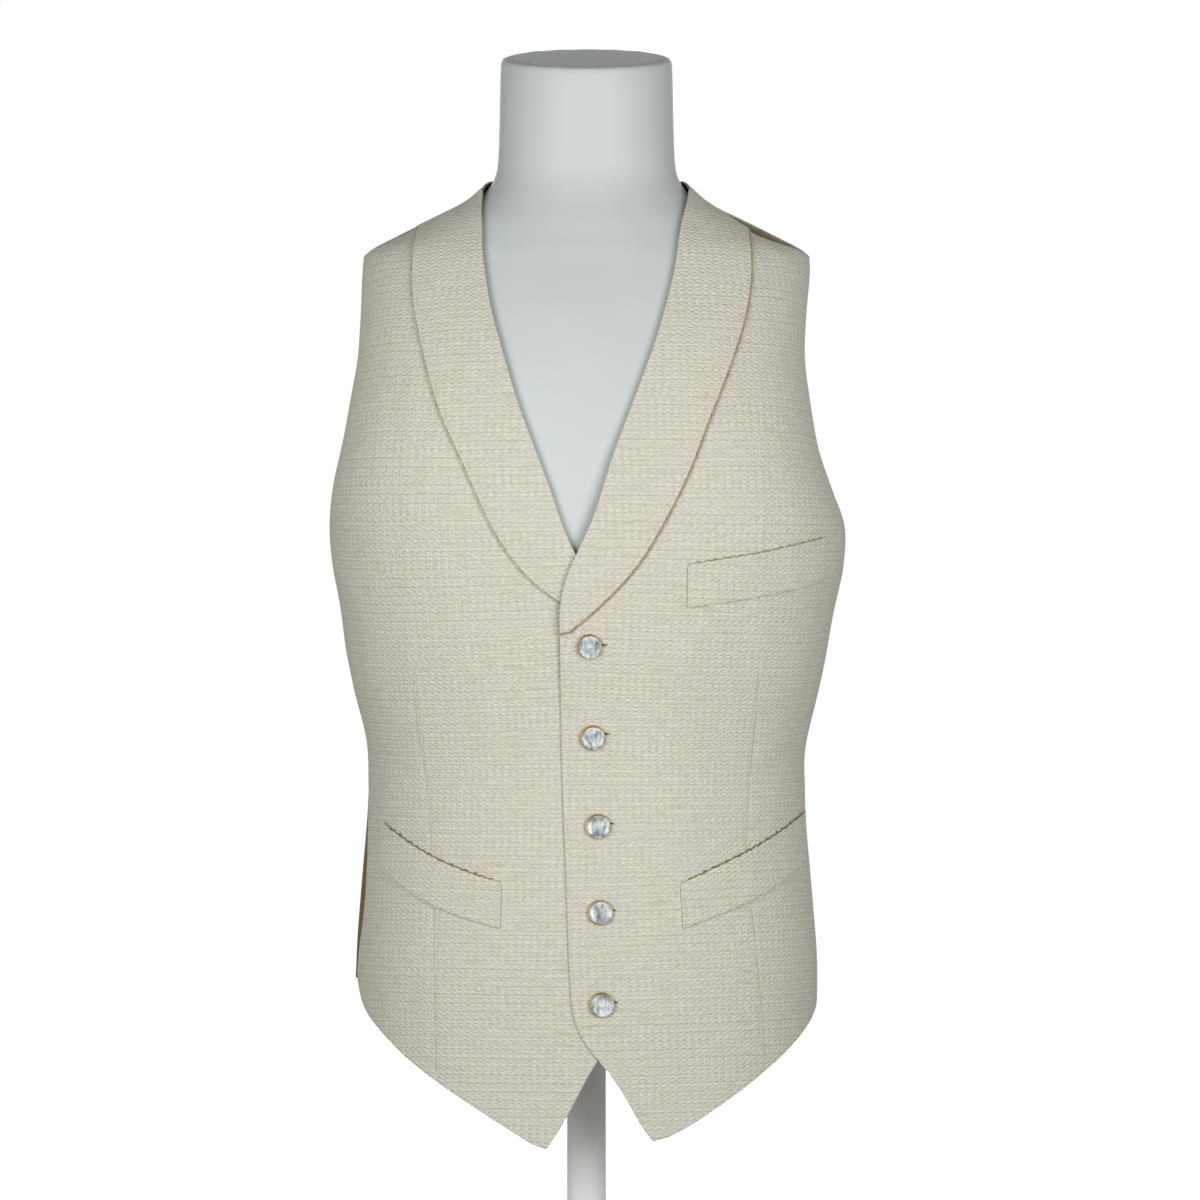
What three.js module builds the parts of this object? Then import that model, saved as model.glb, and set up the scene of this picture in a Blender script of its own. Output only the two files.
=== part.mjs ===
// A single-breasted suit waistcoat with a shawl collar, worn by an armless dress form on a short stand.
// Millimetres, +Z up. The front faces -Y and the wearer's left is +X. The origin is the centre of the
// stand's underside.
import * as THREE from 'three';

const { lerp, smoothstep } = THREE.MathUtils;

// Driving dimensions
const CLOTH = 1.3; // suiting with its canvas and lining, one wall
const COLLAR = 1.1; // the collar and the welts
const SEAM_GAP = 0.5; // between two panels at a side seam or the centre-back seam
const SHOULDER_GAP = 0.8; // at the shoulder seams, which curve
const LAYER_GAP = 0.5; // between two layers of cloth
const COLLAR_GAP = 0.7; // under the collar
const COLLAR_END_GAP = 0.35; // under its end in the shoulder seam
const WELT_GAP = 0.7; // under a lower welt
const BREAST_WELT_GAP = 0.95; // under the breast welt, which bends round the side
const HEM_POINT_RADIUS = 8;
const DART_DEPTH = 0.5;
const DART_HALF_WIDTH = 2.2;

const BUTTON_RADIUS = 7.6; // 24 line
const BUTTON_THICKNESS = 2.8;
const BUTTON_EDGE = 0.85; // its chamfer
const BUTTON_RIM = 2.1; // the width of the rim round its dished face
const BUTTON_DISH = 0.5;
const BUTTON_SEAT = 0.35;

const BASE_RADIUS = 140;
const BASE_THICKNESS = 10;
const BASE_BEVEL = 2;
const POLE_RADIUS = 12.5;
const STAND_GAP = 0.3;
const FORM_BOTTOM = 172;
const FORM_BOTTOM_ROUND = 7;
const NECK_TOP = 762;
const NECK_TOP_SLOPE = 12; // degrees, the front of the cut is lower
const NECK_TOP_BEVEL = 1.5;

// Horizontal sections of the cloth's inner surface. half: half width. lean: the X of its middle. front and
// back: how far the section reaches from the Y axis. mid: the Y of its widest point. power: 2 is an
// ellipse, more is squarer. rear: the same for the back half. clear: how far the form lies inside the cloth.
// pull: how far the form's cut arms are drawn in.
const FIGURE = [
  { z: 60, half: 146, lean: 0, front: 112, back: 108, mid: 2, power: 2.35, rear: 2.35, clear: 5, pull: 0 },
  { z: 140, half: 146, lean: 0, front: 109.5, back: 106, mid: 2, power: 2.35, rear: 2.35, clear: 4.5, pull: 0 },
  { z: 178, half: 146.3, lean: 0, front: 109, back: 105, mid: 2, power: 2.35, rear: 2.35, clear: 4, pull: 0 },
  { z: 230, half: 142.8, lean: 0, front: 106, back: 99, mid: 2, power: 2.3, rear: 2.3, clear: 3, pull: 0 },
  { z: 281, half: 138.7, lean: 0, front: 102, back: 90, mid: 1, power: 2.25, rear: 2.25, clear: 2, pull: 0 },
  { z: 306, half: 137.7, lean: 0, front: 100, back: 86, mid: 0, power: 2.25, rear: 2.25, clear: 1.7, pull: 0 },
  { z: 332, half: 140.5, lean: 0, front: 101, back: 86, mid: 0, power: 2.3, rear: 2.3, clear: 1.7, pull: 0 },
  { z: 357, half: 147, lean: 0, front: 104, back: 88, mid: 0, power: 2.35, rear: 2.35, clear: 1.6, pull: 0 },
  { z: 383, half: 152.4, lean: 0, front: 108, back: 92, mid: 1, power: 2.4, rear: 2.4, clear: 1.6, pull: 0 },
  { z: 409, half: 156.3, lean: 0.6, front: 111, back: 97, mid: 1, power: 2.45, rear: 2.45, clear: 1.6, pull: 0.4 },
  { z: 434, half: 161.5, lean: 1.2, front: 114, back: 101, mid: 2, power: 2.5, rear: 2.5, clear: 1.6, pull: 1 },
  { z: 460, half: 163.6, lean: 0.6, front: 116, back: 105, mid: 3, power: 2.6, rear: 2.6, clear: 1.6, pull: 2 },
  { z: 485, half: 159.2, lean: -2.6, front: 115, back: 108, mid: 4, power: 2.8, rear: 2.8, clear: 1.6, pull: 3 },
  { z: 511, half: 152.6, lean: -4.1, front: 112, back: 110, mid: 5, power: 3, rear: 2.7, clear: 1.6, pull: 3.6 },
  { z: 540, half: 148.3, lean: -3.9, front: 106.5, back: 110, mid: 6, power: 3, rear: 2.55, clear: 1.5, pull: 4 },
  { z: 575, half: 143.9, lean: -2.9, front: 96, back: 107, mid: 7, power: 3, rear: 2.4, clear: 1.6, pull: 3.6 },
  { z: 606, half: 143.5, lean: -1.2, front: 83, back: 100, mid: 8, power: 2.9, rear: 2.25, clear: 1.8, pull: 3 },
  { z: 630, half: 142.2, lean: 0, front: 71, back: 92, mid: 8, power: 2.7, rear: 2.15, clear: 2, pull: 2.6 },
  { z: 634, half: 141.4, lean: 0, front: 69.3, back: 90.2, mid: 8, power: 2.6, rear: 2.1, clear: 2, pull: 2.4 },
  { z: 637, half: 138.2, lean: 0, front: 68, back: 89, mid: 8, power: 2.5, rear: 2.1, clear: 2, pull: 2.2 },
  { z: 646.9, half: 120.3, lean: 0, front: 63, back: 84, mid: 8, power: 2.3, rear: 2.1, clear: 1.8, pull: 0.6 },
  { z: 657.1, half: 99.9, lean: 0, front: 58.5, back: 78, mid: 8, power: 2.2, rear: 2.1, clear: 1.6, pull: 0 },
  { z: 667.3, half: 79.6, lean: 0, front: 54.5, back: 73, mid: 7, power: 2.15, rear: 2.1, clear: 2.2, pull: 0 },
  { z: 677.6, half: 67.5, lean: 0, front: 52, back: 69, mid: 6, power: 2.1, rear: 2.1, clear: 2.7, pull: 0 },
  { z: 684, half: 61.8, lean: 0, front: 51, back: 66.5, mid: 5, power: 2.05, rear: 2.05, clear: 2.9, pull: 0 },
  { z: 700, half: 57.8, lean: 0, front: 51, back: 63, mid: 4, power: 2, rear: 2, clear: 1.2, pull: 0 },
  { z: 730, half: 55.8, lean: 0, front: 53, back: 60, mid: 3, power: 2, rear: 2, clear: 0, pull: 0 },
  { z: 785, half: 55, lean: 0, front: 55, back: 57, mid: 1, power: 2, rear: 2, clear: 0, pull: 0 },
];

// Front edges from the hem point up to the top of the collar, then on round the V neck to the shoulder.
const LEFT_FRONT_EDGE = [
  { x: 40.4, z: 75.6 }, { x: 32.2, z: 92.0 }, { x: 24.1, z: 106.6 }, { x: 13.8, z: 122.1 },
  { x: 7.3, z: 130.5 }, { x: -0.6, z: 140.3 }, { x: -5.7, z: 149.4 }, { x: -8.3, z: 162.4 },
  { x: -10.2, z: 182.2 }, { x: -11.6, z: 221.0 }, { x: -12.9, z: 256.9 }, { x: -14.3, z: 291.5 },
  { x: -15.4, z: 328.1 }, { x: -15.8, z: 365.4 }, { x: -16.1, z: 395.2 },
];
const LEFT_NECKLINE = [
  { x: -16.1, z: 395.2 }, { x: -16.9, z: 408.2 }, { x: -12.4, z: 428.2 }, { x: -6.5, z: 442.4 },
  { x: -0.6, z: 454.2 }, { x: 6.5, z: 470.6 }, { x: 11.1, z: 486.1 }, { x: 15.9, z: 501.6 },
  { x: 32.2, z: 545.8 }, { x: 42.0, z: 572.3 }, { x: 49.8, z: 599.0 }, { x: 55.3, z: 622.5 },
  { x: 58.6, z: 646.5 }, { x: 61.7, z: 659.4 },
];
const RIGHT_FRONT_EDGE = [
  { x: -24.2, z: 70.8 }, { x: -14.9, z: 89.5 }, { x: -5.6, z: 106.6 }, { x: 0.6, z: 118.4 },
  { x: 7.3, z: 130.5 }, { x: 15.0, z: 140.5 }, { x: 21.0, z: 150.0 }, { x: 24.5, z: 162.0 },
  { x: 26.8, z: 182.0 }, { x: 27.6, z: 221.0 }, { x: 27.2, z: 257.0 }, { x: 27.0, z: 291.0 },
  { x: 25.5, z: 328.0 }, { x: 23.8, z: 365.0 }, { x: 21.0, z: 395.0 },
];
const RIGHT_NECKLINE = [
  { x: 21.0, z: 395.0 }, { x: 18.0, z: 408.0 }, { x: 11.0, z: 420.0 }, { x: 2.5, z: 431.0 },
  { x: -6.5, z: 442.4 }, { x: -16.1, z: 466.3 }, { x: -23.1, z: 486.1 }, { x: -29.1, z: 501.6 },
  { x: -44.7, z: 544.6 }, { x: -51.9, z: 569.8 }, { x: -58.1, z: 591.8 }, { x: -61.8, z: 610.2 },
  { x: -65.1, z: 634.0 }, { x: -65.4, z: 650.3 },
];
const LEFT_HEM = [
  { x: 40.4, z: 75.6 }, { x: 50.2, z: 81.5 }, { x: 63.2, z: 88.0 }, { x: 79.5, z: 98.0 },
  { x: 95.9, z: 109.0 }, { x: 112.4, z: 121.2 }, { x: 126.0, z: 132.5 }, { x: 137.4, z: 144.6 },
];
const RIGHT_HEM = [
  { x: -24.2, z: 70.8 }, { x: -33.1, z: 77.6 }, { x: -47.8, z: 86.5 }, { x: -67.1, z: 98.4 },
  { x: -85.9, z: 110.2 }, { x: -103.0, z: 121.8 }, { x: -117.2, z: 133.3 }, { x: -129.0, z: 144.8 },
  { x: -136.5, z: 153.0 }, { x: -141.0, z: 161.0 }, { x: -143.2, z: 168.5 },
];

// Side seams from the hem up to the underarm. The waistcoat is worn a little turned, so the wearer's right
// seam runs further forward.
const LEFT_SIDE_SEAM = [
  { y: -2, z: 163 }, { y: -3, z: 200 }, { y: 0, z: 250 }, { y: 3, z: 285 },
  { y: 6, z: 330 }, { y: 10, z: 385 }, { y: 14, z: 437 },
];
const RIGHT_SIDE_SEAM = [
  { y: -21, z: 177 }, { y: -29, z: 205 }, { y: -30, z: 225 }, { y: -26, z: 250 }, { y: -13, z: 285 },
  { y: 0, z: 330 }, { y: 9, z: 385 }, { y: 14, z: 437 },
];

// Armholes from the underarm up, without their two ends
const FRONT_ARMHOLE = [
  { y: 0, z: 440 }, { y: -14, z: 452 }, { y: -28, z: 475 }, { y: -38, z: 503 },
  { y: -42, z: 535 }, { y: -38, z: 570 }, { y: -28, z: 602 }, { y: -14, z: 624 },
];
const BACK_ARMHOLE = [
  { y: 30, z: 443 }, { y: 44, z: 462 }, { y: 52, z: 490 }, { y: 55, z: 525 },
  { y: 54, z: 560 }, { y: 48, z: 595 }, { y: 34, z: 619 }, { y: 16, z: 630 },
];

// Shoulder seams from the neck out, seen from above. They lie in front of the shoulder's ridge.
const LEFT_SHOULDER_SEAM = [
  { x: 64.8, y: -15 }, { x: 75, y: -18 }, { x: 86, y: -24 }, { x: 98, y: -30 }, { x: 111, y: -33 },
  { x: 123, y: -29 }, { x: 133, y: -19 }, { x: 140.6, y: -6 },
];
const RIGHT_SHOULDER_SEAM = [
  { x: -65.4, y: -16 }, { x: -78, y: -16 }, { x: -95, y: -17 }, { x: -112, y: -17 },
  { x: -128, y: -14 }, { x: -140.6, y: -6 },
];

// Back neckline from the centre out, up to the shoulder seam
const BACK_NECKLINE = [
  { x: 18, y: 67, z: 677 }, { x: 36, y: 58, z: 679 }, { x: 51, y: 42, z: 682 }, { x: 60, y: 17, z: 684.5 },
];
const BACK_CENTRE = { hem: 157, neck: 676 };

// Outer edges of the shawl collar, from the lower end up
const LEFT_COLLAR_EDGE = [
  { z: 394, x: -13.6 }, { z: 399.8, x: -4.4 }, { z: 414.0, x: 11.1 }, { z: 435.4, x: 30.2 },
  { z: 453.1, x: 42.0 }, { z: 471.9, x: 52.5 }, { z: 488.6, x: 60.9 }, { z: 508.9, x: 69.1 },
  { z: 527.9, x: 76.2 }, { z: 549.6, x: 84.7 }, { z: 570.2, x: 92.1 }, { z: 591.3, x: 98.3 },
  { z: 613.2, x: 102.1 }, { z: 630.8, x: 103.0 }, { z: 650.2, x: 101.6 }, { z: 665, x: 101.2 },
];
const RIGHT_COLLAR_EDGE = [
  { z: 394, x: 17.0 }, { z: 404, x: -2.0 }, { z: 413.5, x: -18.4 }, { z: 435.4, x: -40.8 },
  { z: 447.2, x: -50.1 }, { z: 465.7, x: -60.6 }, { z: 490.5, x: -71.8 }, { z: 511.3, x: -81.4 },
  { z: 530.5, x: -89.8 }, { z: 549.8, x: -96.0 }, { z: 575.4, x: -102.3 }, { z: 593.7, x: -106.2 },
  { z: 611.0, x: -108.3 }, { z: 626.0, x: -108.6 }, { z: 654.5, x: -106.0 }, { z: 668, x: -105.6 },
];

// Long front darts, from above the pocket down through it to the hem
const LEFT_DART = [
  { z: 125.6, x: 112.3 }, { z: 170.4, x: 108.2 }, { z: 224.5, x: 102.7 }, { z: 261.3, x: 99.6 },
  { z: 302.3, x: 101.9 }, { z: 328.0, x: 104.4 }, { z: 383.8, x: 108.4 }, { z: 500, x: 109.0 },
];
const RIGHT_DART = [
  { z: 118.8, x: -93.1 }, { z: 188.3, x: -94.4 }, { z: 221.1, x: -94.4 }, { z: 271.3, x: -97.0 },
  { z: 302.4, x: -99.6 }, { z: 324.3, x: -103.4 }, { z: 380.7, x: -109.6 }, { z: 500, x: -110.5 },
];
const DART_TOP = 384;
const DART_FADE = 30;

// Welts: the pocket mouth along the top and the sewn edge along the bottom
const BREAST_WELT = {
  top: [{ x: 62.5, z: 437.3 }, { x: 89.3, z: 441.7 }, { x: 106.8, z: 444.6 }, { x: 124.6, z: 448.6 },
    { x: 149, z: 455 }],
  bottom: [{ x: 61.9, z: 410.7 }, { x: 85, z: 413.6 }, { x: 107, z: 417.6 }, { x: 128, z: 422 },
    { x: 146.5, z: 427.5 }],
};
const LEFT_WELT = {
  top: [{ x: 57.7, z: 238.6 }, { x: 77.7, z: 247.6 }, { x: 93.8, z: 254.9 }, { x: 106.9, z: 261.6 },
    { x: 118.5, z: 268.3 }, { x: 128.6, z: 275 }, { x: 136.6, z: 281 }],
  bottom: [{ x: 59.5, z: 210.8 }, { x: 78, z: 217.5 }, { x: 95, z: 224 }, { x: 110, z: 231 },
    { x: 121, z: 237.5 }, { x: 130.5, z: 244 }, { x: 137.6, z: 250 }],
};
const RIGHT_WELT = {
  top: [{ x: -52.2, z: 239.4 }, { x: -68.8, z: 244.3 }, { x: -81, z: 248.7 }, { x: -91.8, z: 253.2 },
    { x: -102.7, z: 258.9 }, { x: -115.2, z: 266.8 }, { x: -127, z: 276 }],
  bottom: [{ x: -52.8, z: 210.9 }, { x: -68.5, z: 215 }, { x: -82, z: 219.3 }, { x: -95, z: 224.5 },
    { x: -107, z: 231 }, { x: -118.5, z: 238.6 }, { x: -128, z: 246.5 }],
};

const BUTTONS = [
  { x: 2.3, z: 386.8 }, { x: 4.3, z: 329.6 }, { x: 7.4, z: 274.2 }, { x: 9, z: 221 }, { x: 9.9, z: 164.4 },
];

// Soft ridges where the worn cloth stands off the form, from one end to the other
const RIDGES = [
  { from: [158, -30, 452], to: [120, -82, 414], width: 9, height: 2.2 },
  { from: [141, -8, 340], to: [104, -74, 322], width: 8, height: 1.6 },
  { from: [141, -6, 300], to: [113, -62, 292], width: 7, height: 1.2 },
  { from: [-160, -20, 447], to: [-128, -72, 404], width: 10, height: 1.7 },
  { from: [-141, -12, 346], to: [-98, -76, 331], width: 9, height: 1.5 },
  { from: [-139, -8, 306], to: [-110, -64, 290], width: 7, height: 1.3 },
  { from: [150, 46, 432], to: [108, 88, 398], width: 10, height: 2.0 },
  { from: [128, 50, 334], to: [34, 88, 322], width: 9, height: 2.2 },
  { from: [118, 58, 296], to: [52, 84, 303], width: 8, height: 1.5 },
  { from: [-152, 42, 436], to: [-104, 90, 404], width: 10, height: 1.8 },
  { from: [-130, 46, 328], to: [-24, 88, 315], width: 10, height: 2.4 },
  { from: [-112, 62, 292], to: [-60, 84, 297], width: 8, height: 1.4 },
];

const COLOURS = {
  suiting: { color: 0xd9d5c6, roughness: 0.85, metalness: 0 },
  satin: { color: 0xa08a5e, roughness: 0.4, metalness: 0 },
  pearl: { color: 0xdfe2e2, roughness: 0.25, metalness: 0 },
  form: { color: 0xdfe3e3, roughness: 0.5, metalness: 0 },
  coat: { color: 0xe8e8e4, roughness: 0.35, metalness: 0 },
};

// A monotone cubic through one column of a table, as a function of another
function curveOf(table, column, along = 'z') {
  const at = table.map((row) => row[along]);
  const value = table.map((row) => row[column]);
  const step = at.slice(1).map((a, i) => a - at[i]);
  const slope = step.map((h, i) => (value[i + 1] - value[i]) / h);
  const tangent = value.map((_, i) => {
    if (i === 0) return slope[0];
    if (i === slope.length) return slope[i - 1];
    if (slope[i - 1] * slope[i] <= 0) return 0;
    const before = 2 * step[i] + step[i - 1];
    const after = step[i] + 2 * step[i - 1];
    return (before + after) / (before / slope[i - 1] + after / slope[i]);
  });
  return (wanted) => {
    const a = Math.min(Math.max(wanted, at[0]), at[at.length - 1]);
    let i = 0;
    while (i < step.length - 1 && a > at[i + 1]) i += 1;
    const t = (a - at[i]) / step[i];
    const rise = t * t * (3 - 2 * t);
    return lerp(value[i], value[i + 1], rise)
      + step[i] * (tangent[i] * t * (1 - t) ** 2 - tangent[i + 1] * t * t * (1 - t));
  };
}

const half = curveOf(FIGURE, 'half');
const lean = curveOf(FIGURE, 'lean');
const front = curveOf(FIGURE, 'front');
const back = curveOf(FIGURE, 'back');
const mid = curveOf(FIGURE, 'mid');
const power = curveOf(FIGURE, 'power');
const rear = curveOf(FIGURE, 'rear');
const clear = curveOf(FIGURE, 'clear');
const pull = curveOf(FIGURE, 'pull');

// 1 on the figure's surface, less inside and more outside
function level(p) {
  const across = p.y - mid(p.z);
  const n = across < 0 ? power(p.z) : rear(p.z);
  const depth = across < 0 ? front(p.z) + mid(p.z) : back(p.z) - mid(p.z);
  const aside = p.x - lean(p.z);
  return (Math.abs(aside / half(p.z)) ** n + Math.abs(across / depth) ** n) ** (1 / n);
}

// The point at which pointAt(k) meets the surface, for k from low, inside, to high, outside
const HALVINGS = 44;
function meet(pointAt, low, high) {
  let [inside, outside] = [low, high];
  for (let i = 0; i < HALVINGS; i += 1) {
    const k = (inside + outside) / 2;
    if (level(pointAt(k)) < 1) inside = k;
    else outside = k;
  }
  return pointAt((inside + outside) / 2);
}

// Moves a point onto the surface along a ray from the spine, which turns upwards over the shoulders
const SHOULDER_CENTRE = 560;
const SEARCH = { low: 0.3, high: 2.5 }; // as shares of the point's own distance
function onFigure(p) {
  const z = Math.min(p.z, SHOULDER_CENTRE);
  const centre = new THREE.Vector3(0, mid(z), z);
  const ray = p.clone().sub(centre);
  return meet((k) => centre.clone().addScaledVector(ray, k), SEARCH.low, SEARCH.high);
}

const NORMAL_STEP = 0.2;
function normalAt(p) {
  const slope = (axis) => {
    const [a, b] = [p.clone(), p.clone()];
    a[axis] += NORMAL_STEP;
    b[axis] -= NORMAL_STEP;
    return level(a) - level(b);
  };
  return new THREE.Vector3(slope('x'), slope('y'), slope('z')).normalize();
}

const FAR = 400;
const onFront = ({ x, z }) => meet((k) => new THREE.Vector3(x, lerp(mid(z), -FAR, k), z), 0, 1);
const onSide = (sign, { y, z }) => meet((k) => new THREE.Vector3(sign * lerp(0, FAR, k), y, z), 0, 1);
const onTop = ({ x, y }) => meet((k) => new THREE.Vector3(x, y, lerp(SHOULDER_CENTRE, NECK_TOP, k)), 0, 1);

// How far the cloth stands off the figure's surface at a point. A ridge swells in and fades out at its ends.
const SWELL = { from: -0.25, to: 0.3 };
const FADE = { from: 0.6, to: 1.25 };
function drape(p) {
  return RIDGES.reduce((sum, { from, to, width, height }) => {
    const line = new THREE.Line3(new THREE.Vector3(...from), new THREE.Vector3(...to));
    const along = line.closestPointToPointParameter(p, false);
    const near = line.closestPointToPoint(p, true, new THREE.Vector3());
    const taper = smoothstep(along, SWELL.from, SWELL.to) * (1 - smoothstep(along, FADE.from, FADE.to));
    return sum + height * taper * Math.exp(-((p.distanceTo(near) / width) ** 2));
  }, 0);
}

// The left front laps over the right one, and over the end of the right collar
const LAP_START = 16;
const LAP_END = 74;
const COLLAR_END = { low: 340, high: 394 };
const rightEdgeX = curveOf([...RIGHT_FRONT_EDGE, ...RIGHT_NECKLINE.slice(1)], 'x');
function lap(p) {
  const collar = (COLLAR + COLLAR_GAP) * smoothstep(p.z, COLLAR_END.low, COLLAR_END.high);
  const past = p.x - rightEdgeX(p.z);
  return (CLOTH + LAYER_GAP + collar) * (1 - smoothstep(past, LAP_START, LAP_END));
}

const smoothCurve = (points) => new THREE.CatmullRomCurve3(points, false, 'centripetal');
const last = (list) => list[list.length - 1];

// A point along several curves laid end to end, each with its share of the way
function along(curves, shares) {
  return (t) => {
    let from = 0;
    for (let i = 0; i < curves.length; i += 1) {
      const to = i === curves.length - 1 ? 1 : from + shares[i];
      if (t <= to || i === curves.length - 1) {
        return curves[i].getPointAt(Math.min(1, Math.max(0, (t - from) / (to - from))));
      }
      from = to;
    }
    return null;
  };
}

// A patch of the figure's surface between four edges: s runs from the inner edge to the outer one, and t
// from the hem up
function patch({ inner, outer, bottom, top }) {
  const corner = [[inner(0), inner(1)], [outer(0), outer(1)]];
  return (s, t) => {
    const p = new THREE.Vector3();
    p.addScaledVector(inner(t), 1 - s).addScaledVector(outer(t), s);
    p.addScaledVector(bottom(s), 1 - t).addScaledVector(top(s), t);
    p.addScaledVector(corner[0][0], -(1 - s) * (1 - t)).addScaledVector(corner[1][0], -s * (1 - t));
    p.addScaledVector(corner[0][1], -(1 - s) * t).addScaledVector(corner[1][1], -s * t);
    return onFigure(p);
  };
}

// A closed geometry, turned the right way out, from its points and faces
function closed(points, faces) {
  const geometry = new THREE.BufferGeometry().setFromPoints(points);
  const volume = faces.reduce((sum, [a, b, c]) => (
    sum + points[a].dot(new THREE.Vector3().crossVectors(points[b], points[c]))), 0);
  geometry.setIndex((volume > 0 ? faces : faces.map(([a, b, c]) => [a, c, b])).flat());
  geometry.computeVertexNormals();
  return geometry;
}

// A wall of cloth of one thickness. place(i, j) gives a point, lift how far the inner face stands off it, and
// groove how far the outer face dips in. Returns the geometry and the outer face's points.
function clothWall(thickness, columns, rows, place) {
  const inner = [];
  const outer = [];
  for (let j = 0; j <= rows; j += 1) {
    for (let i = 0; i <= columns; i += 1) {
      const { point, lift, groove = 0 } = place(i, j);
      const normal = normalAt(point);
      inner.push(point.clone().addScaledVector(normal, lift));
      outer.push(point.clone().addScaledVector(normal, lift + thickness - groove));
    }
  }
  const wide = columns + 1;
  const count = outer.length;
  const faces = [];
  const points = [...outer, ...inner];
  const quad = (a, b, c, d) => {
    if (points[a].distanceTo(points[c]) < points[b].distanceTo(points[d])) faces.push([a, b, c], [a, c, d]);
    else faces.push([b, c, d], [b, d, a]);
  };
  for (let j = 0; j < rows; j += 1) {
    for (let i = 0; i < columns; i += 1) {
      const a = j * wide + i;
      quad(a, a + 1, a + 1 + wide, a + wide);
      quad(count + a + wide, count + a + 1 + wide, count + a + 1, count + a);
    }
  }
  const rim = [];
  for (let i = 0; i < columns; i += 1) rim.push(i);
  for (let j = 0; j < rows; j += 1) rim.push(j * wide + columns);
  for (let i = columns; i > 0; i -= 1) rim.push(rows * wide + i);
  for (let j = rows; j > 0; j -= 1) rim.push(j * wide);
  rim.forEach((a, k) => {
    const b = rim[(k + 1) % rim.length];
    quad(b, a, count + a, count + b);
  });
  return { geometry: closed(points, faces), outer };
}

// The point of a mesh's outer face over a point of the figure
const RAY_START = 40;
function above(mesh, point) {
  const inward = normalAt(point).negate();
  const from = point.clone().addScaledVector(inward, -RAY_START);
  return new THREE.Raycaster(from, inward).intersectObject(mesh)[0].point;
}

const part = new THREE.Group();
function add(name, geometry, finish) {
  const mesh = new THREE.Mesh(geometry, new THREE.MeshStandardMaterial(COLOURS[finish]));
  mesh.name = name;
  part.add(mesh);
  return mesh;
}

// Fronts

const FRONT_COLUMNS = { inside: 8, outside: 7 };
const FRONT_ROWS = { below: 18, above: 18 };
const CROWDING = 1.3; // rows lie closer together towards the shoulder
const FRONT_SPLIT = FRONT_ROWS.below / (FRONT_ROWS.below + FRONT_ROWS.above);

// The t of row j of a panel whose underarm is at row `below`
function rowShare(j, { below, above }) {
  const split = below / (below + above);
  if (j <= below) return (split * j) / below;
  return lerp(split, 1, 1 - (1 - (j - below) / above) ** CROWDING);
}

const SIDES = {
  left: {
    sign: 1, edge: LEFT_FRONT_EDGE, neckline: LEFT_NECKLINE, hem: LEFT_HEM, seam: LEFT_SIDE_SEAM,
    shoulder: LEFT_SHOULDER_SEAM, dart: LEFT_DART, collar: LEFT_COLLAR_EDGE, lift: (p) => lap(p) + drape(p),
  },
  right: {
    sign: -1, edge: RIGHT_FRONT_EDGE, neckline: RIGHT_NECKLINE, hem: RIGHT_HEM, seam: RIGHT_SIDE_SEAM,
    shoulder: RIGHT_SHOULDER_SEAM, dart: RIGHT_DART, collar: RIGHT_COLLAR_EDGE, lift: drape,
  },
};

function frontPatch({ sign, edge, neckline, hem, seam, shoulder }) {
  const sideSeam = seam.map(({ y, z }) => onSide(sign, { y: y - SEAM_GAP / 2, z }));
  const shoulderSeam = shoulder.map(({ x, y }) => onTop({ x, y: y - SHOULDER_GAP / 2 }));
  const armholePoints = FRONT_ARMHOLE.map((row) => onSide(sign, row));
  const armhole = [last(sideSeam), ...armholePoints, last(shoulderSeam)];
  const edgePoints = edge.map(onFront);
  const neckPoints = [...neckline.map(onFront), shoulderSeam[0]];
  const hemPoints = [...hem.map(onFront), sideSeam[0]];
  return patch({
    inner: along([smoothCurve(edgePoints), smoothCurve(neckPoints)], [FRONT_SPLIT]),
    outer: along([smoothCurve(sideSeam), smoothCurve(armhole)], [FRONT_SPLIT]),
    bottom: along([smoothCurve(hemPoints)], []),
    top: along([smoothCurve(shoulderSeam)], []),
  });
}

// The s at which row t of a patch crosses a line given as x at each height
function crossing(surface, sign, lineX, t) {
  let [low, high] = [0, 1];
  for (let i = 0; i < HALVINGS; i += 1) {
    const s = (low + high) / 2;
    const p = surface(s, t);
    if (sign * (p.x - lineX(p.z)) < 0) low = s;
    else high = s;
  }
  return (low + high) / 2;
}

// The front's columns for one row: one lies on the dart and one close on each side of it
function frontColumns(surface, sign, dartX, t) {
  const dart = crossing(surface, sign, dartX, t);
  const width = surface(0, t).distanceTo(surface(1, t));
  const near = DART_HALF_WIDTH / width;
  const columns = [];
  for (let i = 0; i < FRONT_COLUMNS.inside; i += 1) {
    columns.push({ s: lerp(0, dart - near, i / (FRONT_COLUMNS.inside - 1)), onDart: false });
  }
  columns.push({ s: dart, onDart: true });
  for (let i = 0; i < FRONT_COLUMNS.outside; i += 1) {
    columns.push({ s: lerp(dart + near, 1, i / (FRONT_COLUMNS.outside - 1)), onDart: false });
  }
  return columns;
}

// The hem point is rounded: its corner lies where the round would pass
const HEM_POINT_ANGLE = 85;
const halfAngle = THREE.MathUtils.degToRad(HEM_POINT_ANGLE / 2);
const HEM_POINT_CUT = HEM_POINT_RADIUS * (1 / Math.sin(halfAngle) - 1);

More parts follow.
